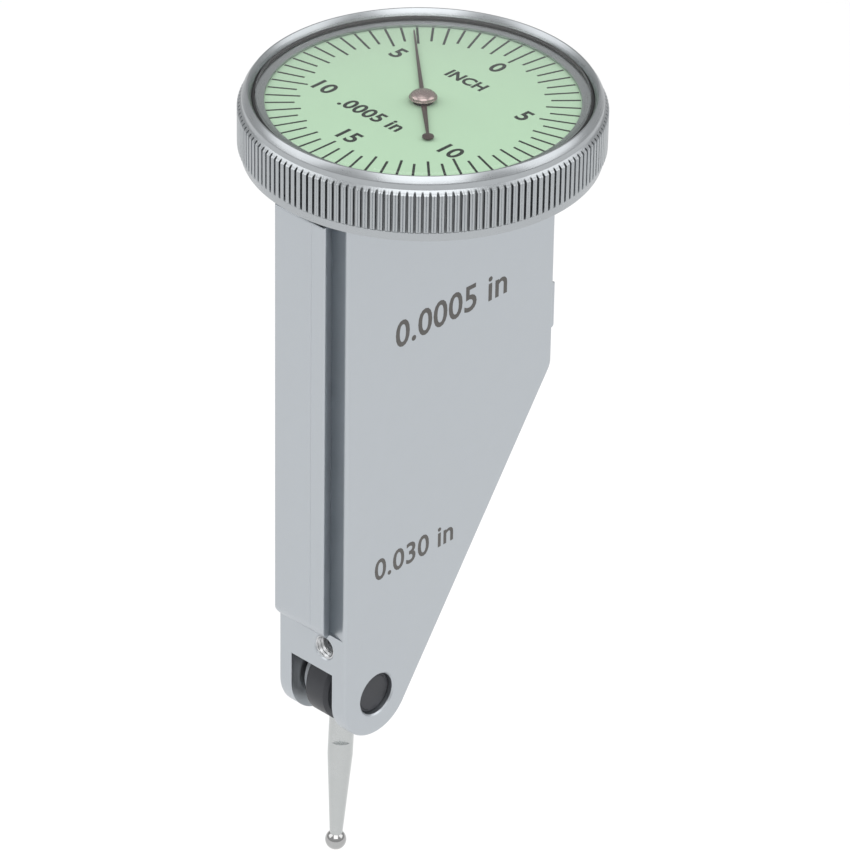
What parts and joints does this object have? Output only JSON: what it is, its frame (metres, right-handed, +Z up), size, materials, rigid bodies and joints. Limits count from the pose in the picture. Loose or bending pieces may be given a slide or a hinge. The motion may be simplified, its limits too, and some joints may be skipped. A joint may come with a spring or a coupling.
{
  "type": "lever dial test indicator",
  "caption": "Lever dial test indicator with a round turning dial head on a slim dovetailed housing and a swivelling ball stylus in a fork at its foot.",
  "frame": {"origin": "centre of the main dovetail's outer face", "axes": "-X out of the main dovetail's face, +Z up along the dovetail and the dial's axis, Y along the stylus's pivot axis"},
  "size_m": [0.0275, 0.0274, 0.0654],
  "materials": {
    "satin_chrome": "satin chrome plate, fine blasted grain",
    "bezel_chrome": "satin chrome with a polished rim and knurl crests",
    "clear_crystal": "clear, polished",
    "dial_green": "matt pale green print ground with black marks",
    "brass": "brushed, lightly lacquered",
    "steel": "fine turned",
    "polished_steel": "mirror polished",
    "stylus_steel": "satin nickel",
    "blackened_steel": "black oxide, satin",
    "ruby": "polished synthetic ruby",
    "rubber": "matt",
    "pointer_brown": "dark brown lacquer",
    "cap_metal": "turned, faint rose tint"
  },
  "bodies": {
    "frame": {"housing": "satin_chrome", "set_screw": "steel", "pivot_bearing_front": "blackened_steel", "pivot_bearing_back": "blackened_steel", "snap_ring": "steel", "sealing_ring": "rubber", "movement_plate": "brass", "movement_bridge": "brass", "arbor_bracket": "brass", "bridge_pillar_1": "steel", "bridge_pillar_2": "steel", "bridge_screw_1": "steel", "bridge_screw_2": "steel", "plate_screw_1": "steel", "plate_screw_2": "steel", "plate_screw_3": "steel", "jewel_upper": "ruby", "jewel_lower": "ruby", "jewel_front": "ruby", "jewel_back": "ruby", "hairspring": "steel", "hairspring_stud": "brass", "return_spring": "steel", "spring_pin": "steel"},
    "dial_ring": {"bezel": "bezel_chrome", "crystal": "clear_crystal", "crystal_gasket": "rubber", "dial": "dial_green", "dial_carrier": "brass"},
    "lever": {"lever_yoke": "steel", "sector_gear": "brass", "sector_rivet_1": "steel", "sector_rivet_2": "steel", "pivot_axle": "steel", "friction_washer_front": "blackened_steel", "friction_washer_back": "blackened_steel"},
    "stylus": {"stylus_hub": "blackened_steel", "stylus_stem": "stylus_steel", "ball_tip": "polished_steel"},
    "crown": {"crown_arbor": "steel", "crown_wheel": "brass"},
    "hand": {"pointer_arbor": "steel", "hairspring_collet": "brass", "pointer": "pointer_brown", "pointer_cap": "cap_metal"}
  },
  "joints": [
    {"name": "bezel_turn", "type": "hinge", "parent": "frame", "child": "dial_ring", "pos_m": [0.01289, 0, 0.02], "axis": [0, 0, 1], "continuous": true},
    {"name": "lever_swing", "type": "hinge", "parent": "frame", "child": "lever", "pos_m": [0.00505, 0, -0.02555], "axis": [0, 1, 0], "range_deg": [-1.65, 1.65], "stiffness_Nm_per_rad": 0.06},
    {"name": "stylus_swivel", "type": "hinge", "parent": "lever", "child": "stylus", "pos_m": [0.00505, 0, -0.02555], "axis": [0, 1, 0], "range_deg": [-106, 102]},
    {"name": "crown_turn", "type": "hinge", "parent": "frame", "child": "crown", "pos_m": [0.01289, 0, 0.01235], "axis": [0, 1, 0], "range_deg": [-52, 52]},
    {"name": "pointer_turn", "type": "hinge", "parent": "frame", "child": "hand", "pos_m": [0.01289, 0, 0.02], "axis": [0, 0, 1], "range_deg": [-207, 207]}
  ],
  "couplings": [
    {"joint": "crown_turn", "follows": "lever_swing", "ratio": -31.25},
    {"joint": "pointer_turn", "follows": "lever_swing", "ratio": -125}
  ]
}
